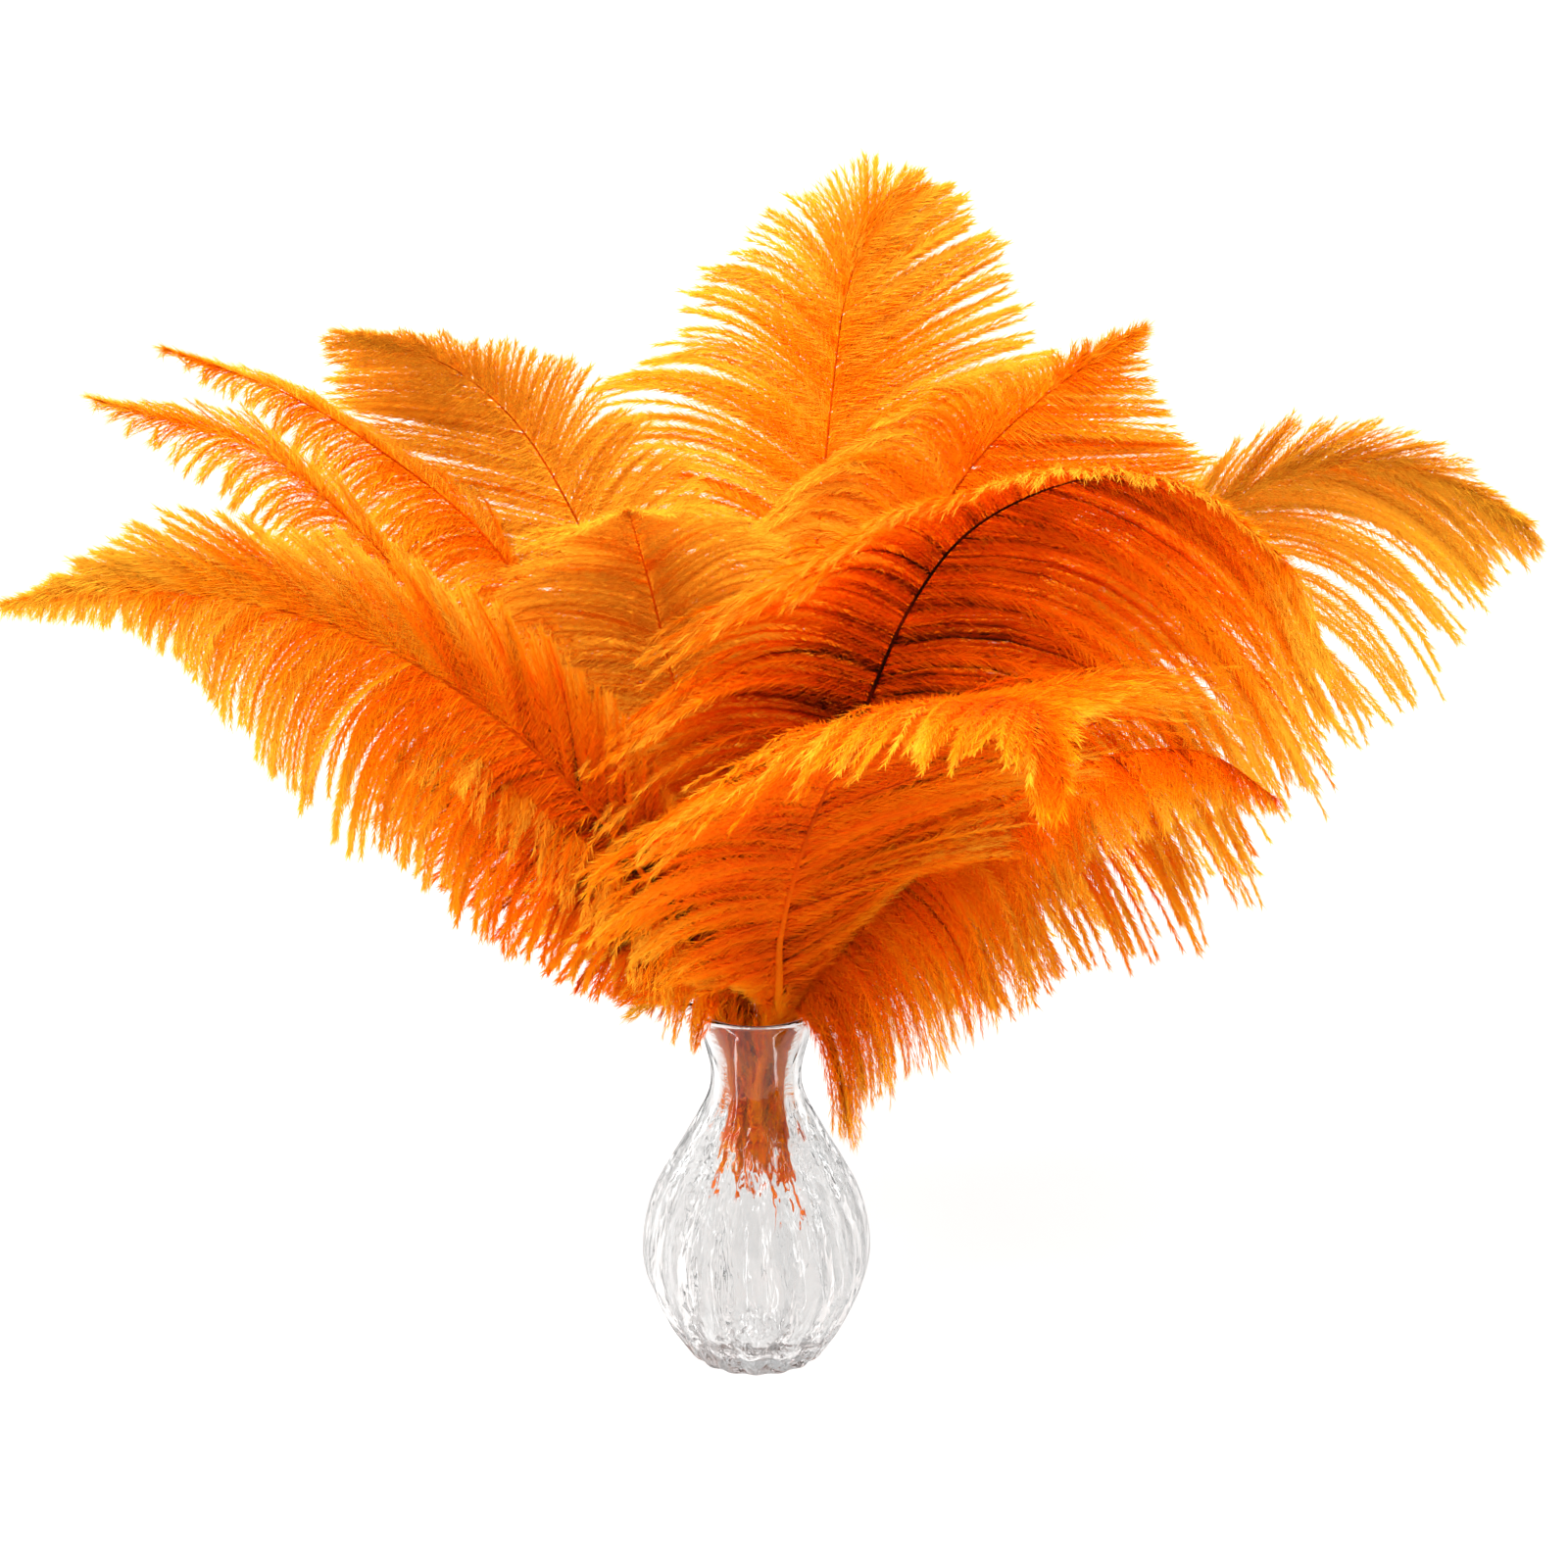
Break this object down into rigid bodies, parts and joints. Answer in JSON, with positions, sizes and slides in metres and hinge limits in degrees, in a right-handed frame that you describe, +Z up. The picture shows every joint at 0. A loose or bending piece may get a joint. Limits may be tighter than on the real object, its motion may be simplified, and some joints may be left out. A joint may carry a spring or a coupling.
{
  "type": "ostrich feather bouquet in vase",
  "caption": "Bouquet of long dyed ostrich feathers that arch out on all sides from the narrow neck of a fluted clear glass bud vase.",
  "frame": {"origin": "centre of the vase's flat foot, on the surface it stands on", "axes": "+Z up along the vase's axis, +X to the right and -Y toward the viewer of the bouquet's front"},
  "size_m": [0.4838, 0.3453, 0.3825],
  "materials": {
    "clear_glass": "clear pressed glass, smooth and glossy, colourless",
    "dyed_feather": "soft dyed feather barbs, bright orange, paler at the tips and deep red-orange near the rachis"
  },
  "bodies": {
    "root": {"vase": "clear_glass", "feather_top": "dyed_feather", "feather_upper_left": "dyed_feather", "feather_mid_left": "dyed_feather", "feather_left_high": "dyed_feather", "feather_left_middle": "dyed_feather", "feather_left_low": "dyed_feather", "feather_left_back": "dyed_feather", "feather_upper_right": "dyed_feather", "feather_middle_right": "dyed_feather", "feather_far_right": "dyed_feather", "feather_front": "dyed_feather", "feather_right_low": "dyed_feather"}
  },
  "joints": []
}
